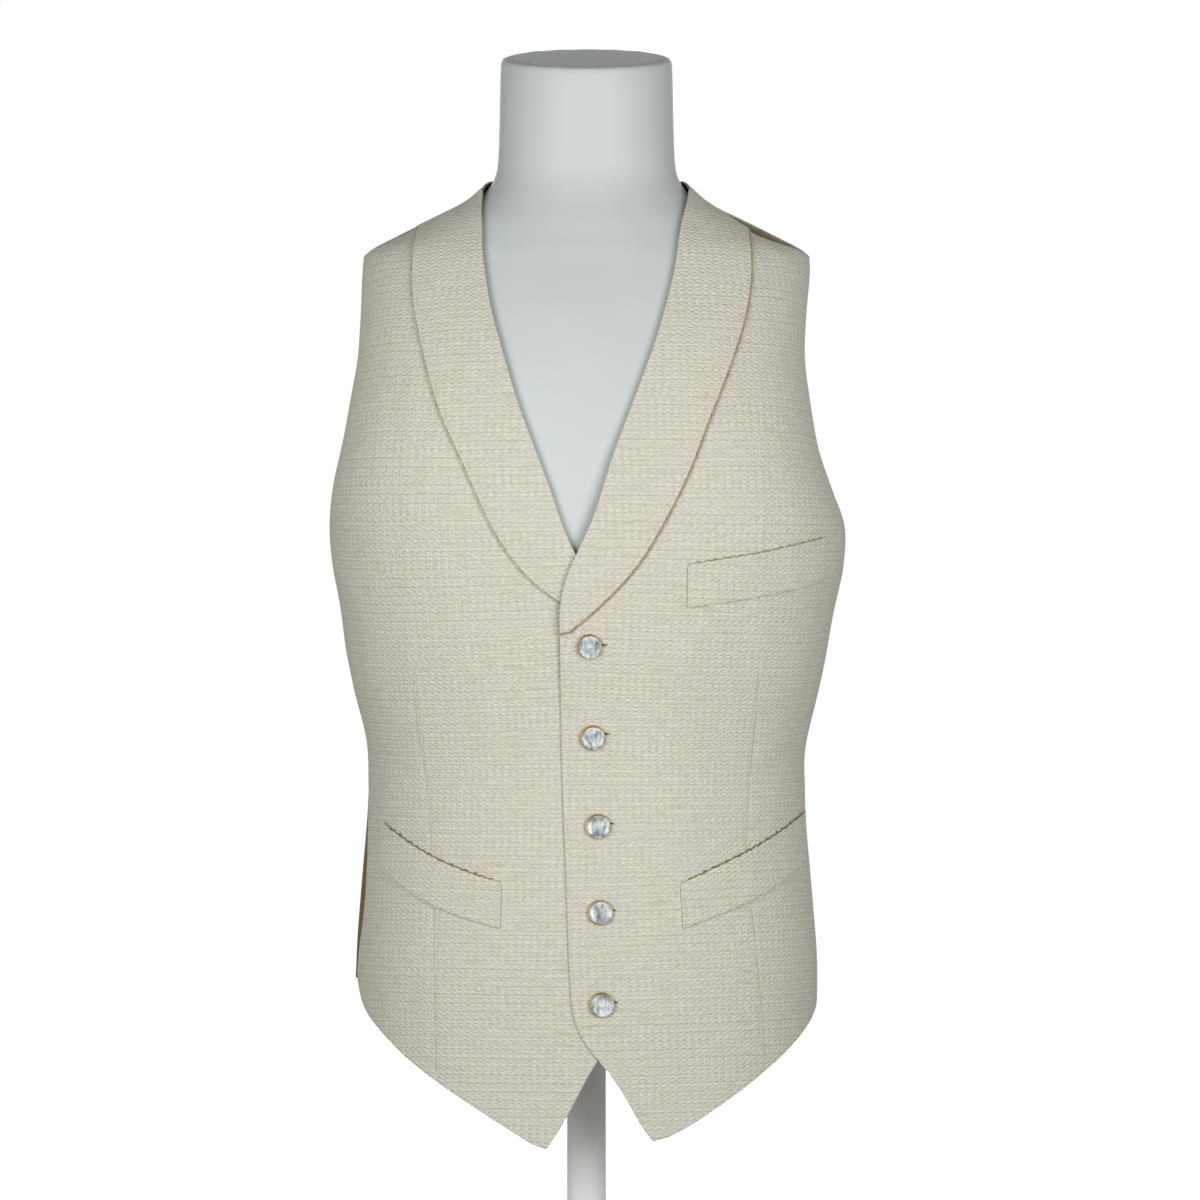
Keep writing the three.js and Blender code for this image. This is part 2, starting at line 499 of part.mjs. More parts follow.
function buildFront(name, side) {
  const surface = frontPatch(side);
  const dartX = curveOf(side.dart, 'x');
  const rows = FRONT_ROWS.below + FRONT_ROWS.above;
  const columns = FRONT_COLUMNS.inside + FRONT_COLUMNS.outside;
  const rowColumns = [];
  const share = (j) => rowShare(j, FRONT_ROWS);
  for (let j = 0; j <= rows; j += 1) rowColumns.push(frontColumns(surface, side.sign, dartX, share(j)));
  const place = (i, j) => {
    const { s, onDart } = rowColumns[j][i];
    let point = surface(s, share(j));
    if (i === 0 && j === 0) {
      const inward = surface(rowColumns[1][1].s, share(1)).sub(point).normalize();
      point = onFigure(point.addScaledVector(inward, HEM_POINT_CUT));
    }
    const fade = 1 - smoothstep(point.z, DART_TOP - DART_FADE, DART_TOP);
    return { point, lift: side.lift(point), groove: onDart ? DART_DEPTH * fade : 0 };
  };
  const { geometry, outer } = clothWall(CLOTH, columns, rows, place);
  const mesh = add(name, geometry, 'suiting');
  // The outer face's point at share s of row j, on the straight line between its columns
  const outerAt = (j, s) => {
    const stops = rowColumns[j];
    let i = 0;
    while (i < columns - 1 && s > stops[i + 1].s) i += 1;
    const [a, b] = [outer[j * (columns + 1) + i], outer[j * (columns + 1) + i + 1]];
    return a.clone().lerp(b, (s - stops[i].s) / (stops[i + 1].s - stops[i].s));
  };
  return { mesh, surface, outerAt };
}

// Shawl collar: made from the points of the front's outer face, moved out

const COLLAR_COLUMNS = 5;

function buildCollar(name, side, { surface, outerAt }) {
  const edgeX = curveOf(side.collar, 'x');
  const rows = FRONT_ROWS.above;
  const rowEnd = [];
  const share = (j) => rowShare(FRONT_ROWS.below + j, FRONT_ROWS);
  for (let j = 0; j <= rows; j += 1) rowEnd.push(crossing(surface, side.sign, edgeX, share(j)));
  const place = (i, j) => {
    const point = outerAt(FRONT_ROWS.below + j, rowEnd[j] * (i / COLLAR_COLUMNS));
    return { point, lift: lerp(COLLAR_GAP, COLLAR_END_GAP, (j / rows) ** 2) };
  };
  add(name, clothWall(COLLAR, COLLAR_COLUMNS, rows, place).geometry, 'suiting');
}

// Welts: laid on the front's outer face

const WELT_COLUMNS = 16;
const WELT_ROWS = 2;

function buildWelt(name, mesh, { top, bottom }, gap) {
  const mouth = smoothCurve(top.map(onFront));
  const sewn = smoothCurve(bottom.map(onFront));
  const place = (i, j) => {
    const u = i / WELT_COLUMNS;
    const point = onFigure(sewn.getPointAt(u).lerp(mouth.getPointAt(u), j / WELT_ROWS));
    return { point: above(mesh, point), lift: gap };
  };
  add(name, clothWall(COLLAR, WELT_COLUMNS, WELT_ROWS, place).geometry, 'suiting');
}

// Back halves, which wrap forward over the shoulder's ridge to the shoulder seam

const BACK_COLUMNS = { neck: 4, shoulder: 10 };
const BACK_ROWS = { below: 11, armhole: 8, above: 11 }; // up to the underarm, the shoulder blade and the seam
const BLADE = { z: 595, armholeRow: 5 };
const CENTRE_STEPS = 8;
const WIDTH_STEPS = 5;
const shares = (count) => Array.from({ length: count + 1 }, (_, k) => k / count);

function buildBack(name, { sign, seam, shoulder }) {
  const columns = BACK_COLUMNS.neck + BACK_COLUMNS.shoulder;
  const lowerRows = BACK_ROWS.below + BACK_ROWS.armhole;
  const rows = lowerRows + BACK_ROWS.above;
  const centreLine = (low, high) => shares(CENTRE_STEPS).map((u) => {
    const z = lerp(low, high, u);
    return onFigure(new THREE.Vector3((sign * SEAM_GAP) / 2, back(z), z));
  });
  const sideSeam = seam.map(({ y, z }) => onSide(sign, { y: y + SEAM_GAP / 2, z }));
  const shoulderSeam = shoulder.map(({ x, y }) => onTop({ x, y: y + SHOULDER_GAP / 2 }));
  const armhole = BACK_ARMHOLE.map((row) => onSide(sign, row));
  const blade = armhole[BLADE.armholeRow];
  const lowerCentre = centreLine(BACK_CENTRE.hem, BLADE.z);
  const upperCentre = centreLine(BLADE.z, BACK_CENTRE.neck);
  const across = (from, to) => shares(WIDTH_STEPS).map((u) => onFigure(from.clone().lerp(to, u)));
  const bladeLine = along([smoothCurve(across(upperCentre[0], blade))], []);
  const neck = BACK_NECKLINE.map(({ x, y, z }) => onFigure(new THREE.Vector3(sign * x, y, z)));
  const lowerArmhole = [last(sideSeam), ...armhole.slice(0, BLADE.armholeRow + 1)];
  const upperArmhole = [...armhole.slice(BLADE.armholeRow), last(shoulderSeam)];
  const neckline = [last(upperCentre), ...neck, shoulderSeam[0]];
  const lower = patch({
    inner: along([smoothCurve(lowerCentre)], []),
    outer: along([smoothCurve(sideSeam), smoothCurve(lowerArmhole)], [BACK_ROWS.below / lowerRows]),
    bottom: along([smoothCurve(across(lowerCentre[0], sideSeam[0]))], []),
    top: bladeLine,
  });
  const upper = patch({
    inner: along([smoothCurve(upperCentre)], []),
    outer: along([smoothCurve(upperArmhole)], []),
    bottom: bladeLine,
    top: along([smoothCurve(neckline), smoothCurve(shoulderSeam)], [BACK_COLUMNS.neck / columns]),
  });
  const place = (i, j) => {
    const s = i / columns;
    const point = j <= lowerRows ? lower(s, j / lowerRows) : upper(s, (j - lowerRows) / BACK_ROWS.above);
    return { point, lift: drape(point) };
  };
  add(name, clothWall(CLOTH, columns, rows, place).geometry, 'satin');
}

// Shank buttons, each standing on the left front along the cloth's own normal

const BUTTON_SEGMENTS = 18;

function buttonProfile() {
  const top = BUTTON_THICKNESS;
  return [
    [0, 0],
    [BUTTON_RADIUS - BUTTON_EDGE, 0],
    [BUTTON_RADIUS, BUTTON_EDGE],
    [BUTTON_RADIUS, top - BUTTON_EDGE],
    [BUTTON_RADIUS - BUTTON_EDGE, top],
    [BUTTON_RADIUS - BUTTON_RIM, top - BUTTON_DISH],
    [0, top - BUTTON_DISH],
  ].map(([r, h]) => new THREE.Vector2(r, h));
}

function buildButton(name, mesh, place) {
  const point = onFront(place);
  const normal = normalAt(point);
  const button = add(name, new THREE.LatheGeometry(buttonProfile(), BUTTON_SEGMENTS), 'pearl');
  button.position.copy(above(mesh, point)).addScaledVector(normal, BUTTON_SEAT);
  button.quaternion.setFromUnitVectors(new THREE.Vector3(0, 1, 0), normal);
}

// Dress form: the figure drawn in from the cloth, with a neck cut off at a slope and a flat bottom

const FORM_SEGMENTS = 36;
const FORM_HEIGHTS = [
  188, 215, 245, 275, 306, 335, 360, 385, 410, 435, 460, 485, 510, 540, 570, 597, 615, 627, 634, 639,
  644, 650, 656, 662, 668, 674, 680, 687, 697, 712, 735,
];
const SLOPE = Math.tan(THREE.MathUtils.degToRad(NECK_TOP_SLOPE));
const PULL_POWER = 4; // how closely the pull keeps to the sides
const ROUND_SHARE = 0.3; // where the middle ring of the rounded bottom edge lies

function formPoint(angle, z, inset) {
  const far = new THREE.Vector3(Math.sin(angle) * FAR, mid(z) - Math.cos(angle) * FAR, z);
  const spine = new THREE.Vector3(0, mid(z), z);
  const point = meet((k) => spine.clone().lerp(far, k), 0, 1);
  const narrow = pull(z) * (Math.abs(point.x) / half(z)) ** PULL_POWER;
  const normal = normalAt(point);
  point.addScaledVector(normal, -clear(z));
  point.x -= Math.sign(point.x) * narrow;
  const flat = new THREE.Vector2(point.x, point.y - mid(z));
  flat.setLength(flat.length() - inset);
  return new THREE.Vector3(flat.x, flat.y + mid(z), point.z);
}

function buildForm() {
  const ringOf = (z, inset) => {
    const ring = [];
    const turn = (2 * Math.PI) / FORM_SEGMENTS;
    for (let k = 0; k < FORM_SEGMENTS; k += 1) ring.push(formPoint(k * turn, z, inset));
    return ring;
  };
  const round = FORM_BOTTOM_ROUND;
  const roundHeight = FORM_BOTTOM + round * ROUND_SHARE;
  const flatAt = (ring, z) => ring.map((p) => new THREE.Vector3(p.x, p.y, z));
  const sloped = (ring, z) => ring.map((p) => new THREE.Vector3(p.x, p.y, z + p.y * SLOPE));
  const rings = [
    flatAt(ringOf(FORM_BOTTOM, round), FORM_BOTTOM),
    flatAt(ringOf(roundHeight, round * ROUND_SHARE), roundHeight),
    flatAt(ringOf(FORM_BOTTOM + round, 0), FORM_BOTTOM + round),
    ...FORM_HEIGHTS.map((z) => ringOf(z, 0)),
    sloped(ringOf(NECK_TOP, 0), NECK_TOP - NECK_TOP_BEVEL),
    sloped(ringOf(NECK_TOP, NECK_TOP_BEVEL), NECK_TOP),
  ];
  const points = rings.flat();
  const faces = [];
  for (let j = 0; j < rings.length - 1; j += 1) {
    for (let k = 0; k < FORM_SEGMENTS; k += 1) {
      const next = (k + 1) % FORM_SEGMENTS;
      const [a, b] = [j * FORM_SEGMENTS + k, j * FORM_SEGMENTS + next];
      faces.push([a, b, b + FORM_SEGMENTS], [a, b + FORM_SEGMENTS, a + FORM_SEGMENTS]);
    }
  }
  const top = (rings.length - 1) * FORM_SEGMENTS;
  const centreOf = (ring) => {
    const sum = ring.reduce((total, p) => total.add(p), new THREE.Vector3());
    return sum.divideScalar(ring.length);
  };
  points.push(centreOf(rings[0]), centreOf(last(rings)));
  for (let k = 0; k < FORM_SEGMENTS; k += 1) {
    const next = (k + 1) % FORM_SEGMENTS;
    faces.push([points.length - 2, next, k], [points.length - 1, top + k, top + next]);
  }
  add('dress_form', closed(points, faces), 'form');
}

// Stand: a plain pole on a round plate

const BASE_SEGMENTS = 48;
const POLE_SEGMENTS = 24;

function buildStand() {
  const profile = [
    [0, 0],
    [BASE_RADIUS - BASE_BEVEL, 0],
    [BASE_RADIUS, BASE_BEVEL],
    [BASE_RADIUS, BASE_THICKNESS - BASE_BEVEL],
    [BASE_RADIUS - BASE_BEVEL, BASE_THICKNESS],
    [0, BASE_THICKNESS],
  ].map(([r, h]) => new THREE.Vector2(r, h));
  const base = add('stand_base', new THREE.LatheGeometry(profile, BASE_SEGMENTS), 'coat');
  base.rotation.x = Math.PI / 2;
  const low = BASE_THICKNESS + STAND_GAP;
  const high = FORM_BOTTOM - STAND_GAP;
  const shaft = new THREE.CylinderGeometry(POLE_RADIUS, POLE_RADIUS, high - low, POLE_SEGMENTS);
  const pole = add('stand_pole', shaft, 'coat');
  pole.rotation.x = Math.PI / 2;
  pole.position.z = (low + high) / 2;
}

const leftFront = buildFront('front_left', SIDES.left);
const rightFront = buildFront('front_right', SIDES.right);
buildCollar('shawl_collar_left', SIDES.left, leftFront);
buildCollar('shawl_collar_right', SIDES.right, rightFront);
buildWelt('breast_welt', leftFront.mesh, BREAST_WELT, BREAST_WELT_GAP);
buildWelt('pocket_welt_left', leftFront.mesh, LEFT_WELT, WELT_GAP);
buildWelt('pocket_welt_right', rightFront.mesh, RIGHT_WELT, WELT_GAP);
buildBack('back_left', SIDES.left);
buildBack('back_right', SIDES.right);
BUTTONS.forEach((place, k) => buildButton(`button_${k + 1}`, leftFront.mesh, place));
buildForm();
buildStand();

export default part;
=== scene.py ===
import bmesh
import bpy
import math
import numpy as np
from mathutils import Matrix, Vector
from mathutils.bvhtree import BVHTree


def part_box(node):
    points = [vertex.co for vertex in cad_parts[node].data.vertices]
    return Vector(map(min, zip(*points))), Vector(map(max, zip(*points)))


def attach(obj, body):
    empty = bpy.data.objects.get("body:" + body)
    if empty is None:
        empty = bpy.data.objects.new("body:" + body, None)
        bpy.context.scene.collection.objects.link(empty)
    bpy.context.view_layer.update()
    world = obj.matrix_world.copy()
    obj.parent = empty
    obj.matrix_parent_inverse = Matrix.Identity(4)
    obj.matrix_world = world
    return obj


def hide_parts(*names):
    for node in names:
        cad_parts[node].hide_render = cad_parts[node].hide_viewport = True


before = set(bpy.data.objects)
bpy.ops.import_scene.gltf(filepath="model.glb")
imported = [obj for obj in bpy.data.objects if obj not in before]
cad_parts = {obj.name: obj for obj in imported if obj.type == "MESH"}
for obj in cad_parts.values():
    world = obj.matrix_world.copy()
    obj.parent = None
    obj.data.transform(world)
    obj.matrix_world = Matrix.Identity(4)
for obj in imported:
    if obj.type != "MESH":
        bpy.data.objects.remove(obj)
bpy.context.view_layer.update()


# The dress form: a plain armless body of moulded plastic with a neck sawn off at a slope. It has a smooth,
# slightly satin skin, and the cap that closes the neck has a greener tint of its own. The cap is also painted
# lighter than the body, as painted light that makes up for the weak light falling on its top.
FORM_COLOUR = (0.695, 0.735, 0.735, 1.0)
FORM_SHADE = (0.655, 0.700, 0.695, 1.0)
# Painted light: the cap's colours are lighter than the form's to stand in for light that falls weakly on the
# neck top.
CAP_LIFTED_COLOUR = (0.800, 0.860, 0.790, 1.0)
CAP_LIFTED_SHADE = (0.760, 0.820, 0.750, 1.0)
CAP_LEVEL = 0.73
MERGE_DISTANCE = 2e-5


class Wire:
    """One output of a shader node: arithmetic on it adds Math nodes, and make() adds any other node."""

    def __init__(self, tree, socket=None):
        self.tree = tree
        self.socket = socket

    def make(self, kind, sockets, out=0, stops=None, **settings):
        node = self.tree.nodes.new(kind)
        for name, value in settings.items():
            setattr(node, name, value)
        if stops:
            ramp = node.color_ramp
            while len(ramp.elements) < len(stops):
                ramp.elements.new(0.5)
            for element, (place, colour) in zip(ramp.elements, stops):
                element.position = place
                element.color = colour
        for name, value in sockets.items():
            if isinstance(value, Wire):
                self.tree.links.new(value.socket, node.inputs[name])
            else:
                node.inputs[name].default_value = value
        return Wire(self.tree, node.outputs[out])

    def math(self, operation, *values):
        return self.make("ShaderNodeMath", dict(enumerate(values)), operation=operation)

    def __add__(self, other):
        return self.math("ADD", self, other)

    def __sub__(self, other):
        return self.math("SUBTRACT", self, other)

    def __rsub__(self, other):
        return self.math("SUBTRACT", other, self)

    def __mul__(self, other):
        return self.math("MULTIPLY", self, other)

    def axes(self):
        """The three numbers of this vector."""
        node = self.tree.nodes.new("ShaderNodeSeparateXYZ")
        self.tree.links.new(self.socket, node.inputs[0])
        return [Wire(self.tree, output) for output in node.outputs]

    def sine(self):
        return self.math("SINE", self)

    def between(self, low, high):
        """0 below low, 1 above high and a straight ramp between, both plain numbers."""
        return self.make(
            "ShaderNodeMapRange",
            {"Value": self, "From Min": low, "From Max": high},
            clamp=True,
        )

    def noise(self, scale, detail=2.0, stretch=(1.0, 1.0, 1.0), offset=(0.0, 0.0, 0.0)):
        """Noise of about 0 to 1 at this vector, finer along an axis whose stretch is larger."""
        placed = self.make(
            "ShaderNodeMapping",
            {"Vector": self, "Location": offset, "Scale": stretch},
        )
        return self.make(
            "ShaderNodeTexNoise",
            {"Vector": placed, "Scale": scale, "Detail": detail, "Roughness": 0.55},
        )

    def tint(self, first, second):
        """A colour from first to second as this value goes from 0 to 1."""
        return self.make(
            "ShaderNodeMix",
            {0: self, 6: first, 7: second},
            out=2,
            data_type="RGBA",
        )


def new_finish(name, **numbers):
    """A material with one Principled shader, its uniform numbers set on its own sockets."""
    material = bpy.data.materials.new(name)
    material.use_nodes = True
    tree = material.node_tree
    tree.nodes.clear()
    output = tree.nodes.new("ShaderNodeOutputMaterial")
    shader = tree.nodes.new("ShaderNodeBsdfPrincipled")
    tree.links.new(shader.outputs[0], output.inputs[0])
    for socket, value in numbers.items():
        shader.inputs[socket.replace("_", " ")].default_value = value
    return material, shader, Wire(tree)


def feed(shader, socket, wire):
    """Joins a value that changes over the surface to one socket of the shader."""
    wire.tree.links.new(wire.socket, shader.inputs[socket])


def raise_bump(shader, height, distance, strength):
    """Bumps the surface by this height of 0 to 1, over a real distance in metres."""
    bump = height.make(
        "ShaderNodeBump",
        {"Height": height, "Distance": distance, "Strength": strength},
    )
    feed(shader, "Normal", bump)


def merged_copy(node):
    """A CAD node's mesh as one joined skin, ready to be worked on."""
    skin = bmesh.new()
    skin.from_mesh(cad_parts[node].data)
    bmesh.ops.remove_doubles(skin, verts=skin.verts, dist=MERGE_DISTANCE)
    return skin


def squared(skin):
    """Joins pairs of triangles back into the four-sided faces that they were split from."""
    bmesh.ops.join_triangles(
        skin,
        faces=skin.faces,
        angle_face_threshold=math.radians(60),
        angle_shape_threshold=math.radians(80),
    )


def as_piece(skin, name, finishes):
    """Makes the worked skin an object at the origin that rides with the waistcoat's one body."""
    mesh = bpy.data.meshes.new(name)
    skin.to_mesh(mesh)
    skin.free()
    mesh.shade_smooth()
    piece = bpy.data.objects.new(name, mesh)
    bpy.context.scene.collection.objects.link(piece)
    for finish in finishes:
        mesh.materials.append(finish)
    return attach(piece, "root")


def smoothed(piece, levels):
    """Adds a subdivision surface that keeps the corners of open edges."""
    smooth = piece.modifiers.new("smooth", "SUBSURF")
    smooth.levels = levels
    smooth.render_levels = levels
    smooth.boundary_smooth = "PRESERVE_CORNERS"
    smooth.uv_smooth = "PRESERVE_BOUNDARIES"


def moulded_finish(name, light, dark):
    """Moulded plastic with a fine satin grain and faint clouds of tint."""
    material, shader, start = new_finish(name, Roughness=0.52, Specular_IOR_Level=0.35)
    place = start.make("ShaderNodeTexCoord", {}, out="Object")
    cloudy = place.noise(9.0, 3.0)
    grain = place.noise(420.0, 2.0)
    feed(shader, "Base Color", cloudy.between(0.3, 0.7).tint(light, dark))
    feed(shader, "Roughness", grain * 0.12 + 0.44)
    raise_bump(shader, grain * 0.6 + cloudy * 0.4, 0.00008, 0.6)
    return material


form_finish = moulded_finish("form_satin_plastic", FORM_COLOUR, FORM_SHADE)
lifted_cap_finish = moulded_finish("neck_cap_painted_light", CAP_LIFTED_COLOUR, CAP_LIFTED_SHADE)

skin = merged_copy("dress_form")
squared(skin)
for face in skin.faces:
    if face.normal.z > 0.9 and face.calc_center_median().z > CAP_LEVEL:
        face.material_index = 1
form = as_piece(skin, "form_body", [form_finish, lifted_cap_finish])
smoothed(form, 2)
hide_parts("dress_form")


# The stand: a round steel foot and a pole that carries the form from below. Both are powder-coated white, and
# the foot is flat on the floor.
COAT = (0.900, 0.900, 0.890, 1.0)
COAT_SHADE = (0.800, 0.800, 0.790, 1.0)

coat_finish, shader, start = new_finish("stand_white_coat", Metallic=0.0, Specular_IOR_Level=0.5)
place = start.make("ShaderNodeTexCoord", {}, out="Object")
orange_peel = place.noise(650.0, 2.0)
worn = place.noise(40.0, 4.0).between(0.62, 0.8)
feed(shader, "Base Color", worn.tint(COAT, COAT_SHADE))
feed(shader, "Roughness", orange_peel * 0.1 + 0.28)
raise_bump(shader, orange_peel, 0.00006, 0.7)
for node in ("stand_pole", "stand_base"):
    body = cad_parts[node]
    for slot in body.material_slots:
        slot.material = coat_finish


# The two fronts, cut from ivory suiting and lined with satin: a soft weave of small raised cells, spun from
# cream, grey-blue and golden yarns of uneven thickness. The edges are turned and pressed, not bound.
CLOTH = 0.0013
DASH_WIDTH = 0.0024
DASH_HEIGHT = 0.0014
DASH_SHIFT = 0.004
ROW = 0.0026
FINE_ROW = 0.00175
REPEAT = 0.005
DRIFT = 0.0016
RIB = 0.0004
CREAM = (0.868, 0.845, 0.710, 1.0)
CREAM_SHADE = (0.605, 0.588, 0.498, 1.0)
GREY_YARN = (0.610, 0.635, 0.635, 1.0)
GOLD_YARN = (0.660, 0.560, 0.390, 1.0)
SATIN = (0.270, 0.195, 0.072, 1.0)
SATIN_SHADE = (0.160, 0.115, 0.040, 1.0)


def ripple(along, length):
    """A sine wave of this length in metres along one axis."""
    return (along * (2 * math.pi / length)).sine()


def woven_finish(name):
    """Ivory suiting: short raised dashes over close cross rows, with slubs of other tints and painted shade
    in the pits.
    """
    material, shader, start = new_finish(name, Sheen_Weight=0.1, Sheen_Roughness=0.6, Specular_IOR_Level=0.2)
    thread = start.make("ShaderNodeUVMap", {}, uv_map="thread")
    drift_x = thread.noise(260.0, 2.0)
    drift_y = thread.noise(260.0, 2.0, offset=(3.1, 1.7, 0.0))
    shift = thread.noise(1.0, 0.0, stretch=(18.0, 260.0, 1.0), offset=(6.0, 2.5, 0.0))
    x, y, unused = thread.axes()
    x = x + (drift_x - 0.5) * DRIFT
    y = y + (drift_y - 0.5) * DRIFT
    row = ripple(y, ROW) * 0.5 + 0.5
    fine_row = ripple(y, FINE_ROW) * 0.5 + 0.5
    dash = ripple(x + shift * DASH_SHIFT, DASH_WIDTH * 2) * ripple(y, DASH_HEIGHT * 2)
    dash = dash.between(-0.1, 0.8)
    larger = ripple(x, REPEAT) + ripple(y, REPEAT)
    slub = thread.noise(1.0, 3.0, stretch=(70.0, 560.0, 1.0))
    pale = thread.noise(1.0, 3.0, stretch=(90.0, 700.0, 1.0), offset=(7.0, 4.0, 0.0))
    ply = thread.noise(1.0, 3.0, stretch=(420.0, 110.0, 1.0), offset=(5.0, 2.0, 0.0))
    speck = thread.noise(820.0, 2.0, offset=(1.0, 9.0, 0.0))
    patch = thread.noise(38.0, 2.0, offset=(2.0, 4.0, 0.0))
    height = dash * 0.42 + row * 0.14 + fine_row * 0.08 + speck * 0.36 + slub * 0.16 + larger * 0.03
    # Painted shade: the tone rises and falls with the height, so the pits of the weave are painted darker;
    # the pale slubs are a real tint.
    tone_and_pit_shade = dash * 0.06 + row * 0.2 + fine_row * 0.12 + speck * 0.6 + pale * 0.5 + larger * 0.05
    ground = tone_and_pit_shade.between(0.42, 1.02).tint(CREAM_SHADE, CREAM)
    greyness = ply.between(0.48, 0.66) * patch.between(0.32, 0.62) * 0.5
    goldness = slub.between(0.52, 0.70) * patch.between(0.72, 0.38) * 0.75
    feed(shader, "Base Color", goldness.tint(greyness.tint(ground, GREY_YARN), GOLD_YARN))
    feed(shader, "Roughness", 0.95 - height * 0.12)
    raise_bump(shader, height, 0.0012, 0.85)
    return material


def turned_finish(name):
    """The same suiting where it is turned over an edge, with its yarns crushed flat."""
    material, shader, start = new_finish(name, Sheen_Weight=0.1, Sheen_Roughness=0.6, Specular_IOR_Level=0.2)
    place = start.make("ShaderNodeTexCoord", {}, out="Object")
    nap = place.noise(700.0, 3.0)
    feed(shader, "Base Color", nap.between(0.3, 0.7).tint(CREAM_SHADE, CREAM))
    feed(shader, "Roughness", 0.95 - nap * 0.1)
    raise_bump(shader, nap, 0.0002, 0.5)
    return material


def satin_finish(name):
    """Golden-tan satin: fine close warp threads, a soft shine, and faint creases with painted shade in their
    hollows.
    """
    material, shader, start = new_finish(name, Sheen_Weight=0.0, Specular_IOR_Level=0.22, Anisotropic=0.5)
    thread = start.make("ShaderNodeUVMap", {}, uv_map="thread")
    warp = thread.noise(1.0, 2.0, stretch=(2200.0, 60.0, 1.0))
    crease_and_shade = thread.noise(14.0, 3.0, stretch=(1.0, 0.5, 1.0))
    x, y, unused = thread.axes()
    rib = ripple(x, RIB) * 0.5 + 0.5
    # Painted shade: the colour darkens where the crease bump is low, over the real tone of the warp threads.
    feed(shader, "Base Color", (warp * 0.6 + crease_and_shade * 0.4).between(0.3, 0.7).tint(SATIN_SHADE, SATIN))
    feed(shader, "Roughness", warp * 0.16 + 0.42)
    raise_bump(shader, crease_and_shade * 0.9 + rib * 0.006 + warp * 0.012, 0.0012, 0.6)
    return material


suiting = woven_finish("ivory_suiting")
turned_suiting = turned_finish("ivory_turned_edge")
lining = satin_finish("golden_lining")


def outer_cloth(node, facing):
    """The outer skin alone of a CAD cloth wall, found by walking from its furthest face over smooth edges."""
    skin = merged_copy(node)
    skin.faces.ensure_lookup_table()
    seed = max(
        (face for face in skin.faces if face.normal.dot(facing) > 0.8),
        key=lambda face: face.calc_center_median().dot(facing),
    )
    kept = {seed}
    edge_of_walk = [seed]
    while edge_of_walk:
        face = edge_of_walk.pop()
        for edge in face.edges:
            for other in edge.link_faces:
                if other not in kept and other.normal.angle(face.normal) < math.radians(42):
                    kept.add(other)
                    edge_of_walk.append(other)
    dropped = [face for face in skin.faces if face not in kept]
    bmesh.ops.delete(skin, geom=dropped, context="FACES")
    squared(skin)
    return skin


FIT_ROUNDS = 2
FIT_REACH = 0.0012


def run_through_points(skin):
    """Keeps the corners of a cut edge, and moves the cage until its smooth surface meets its old points."""
    kept_corner = skin.verts.layers.float.new("crease_vert")
    wanted = {vert: vert.co.copy() for vert in skin.verts}
    for vert in skin.verts:
        rims = [edge for edge in vert.link_edges if edge.is_boundary]
        if len(rims) == 2:
            one, two = [edge.other_vert(vert).co - vert.co for edge in rims]
            if one.angle(-two) > math.radians(38):
                vert[kept_corner] = 1.0
    for _ in range(FIT_ROUNDS):
        missed = {}
        for vert in skin.verts:
            rims = [edge for edge in vert.link_edges if edge.is_boundary]
            if vert[kept_corner] > 0:
                limit = vert.co.copy()
            elif rims:
                ends = [edge.other_vert(vert).co for edge in rims]
                limit = (ends[0] + vert.co * 4 + ends[1]) / 6
            else:
                count = len(vert.link_edges)
                limit = vert.co * count * count
                for edge in vert.link_edges:
                    limit += edge.other_vert(vert).co * 4
                weight = count * count + 4 * count
                for face in vert.link_faces:
                    if len(face.verts) == 4:
                        at = list(face.verts).index(vert)
                        limit += face.verts[(at + 2) % 4].co
                        weight += 1
                limit /= weight
            missed[vert] = wanted[vert] - limit
        for vert, step in missed.items():
            vert.co += step
            gone = vert.co - wanted[vert]
            if gone.length > FIT_REACH:
                vert.co = wanted[vert] + gone.normalized() * FIT_REACH


def lay_threads(piece):
    """Unrolls the cloth into a UV map in metres whose second axis runs up the wearer."""
    for other in bpy.context.selected_objects:
        other.select_set(False)
    bpy.context.view_layer.objects.active = piece
    piece.select_set(True)
    piece.data.uv_layers.new(name="thread")
    bpy.ops.object.mode_set(mode="EDIT")
    bpy.ops.mesh.select_all(action="SELECT")
    bpy.ops.uv.unwrap(method="CONFORMAL", margin=0.0)
    bpy.ops.object.mode_set(mode="OBJECT")
    piece.select_set(False)
    layer = piece.data.uv_layers["thread"].uv
    corners = len(piece.data.loops)
    flat = np.empty(corners * 2)
    layer.foreach_get("vector", flat)
    flat = flat.reshape(-1, 2)
    at = np.empty(corners, dtype=np.int64)
    piece.data.loops.foreach_get("vertex_index", at)
    points = np.empty(len(piece.data.vertices) * 3)
    piece.data.vertices.foreach_get("co", points)
    tall = points.reshape(-1, 3)[at, 2]
    low = tall < np.median(tall) + 0.08
    known = np.column_stack([flat[low], np.ones(low.sum())])
    (a, b, c), *unused = np.linalg.lstsq(known, tall[low], rcond=None)
    flat = np.column_stack([flat @ np.array([b, -a]), flat @ np.array([a, b])])
    layer.foreach_set("vector", flat.ravel())


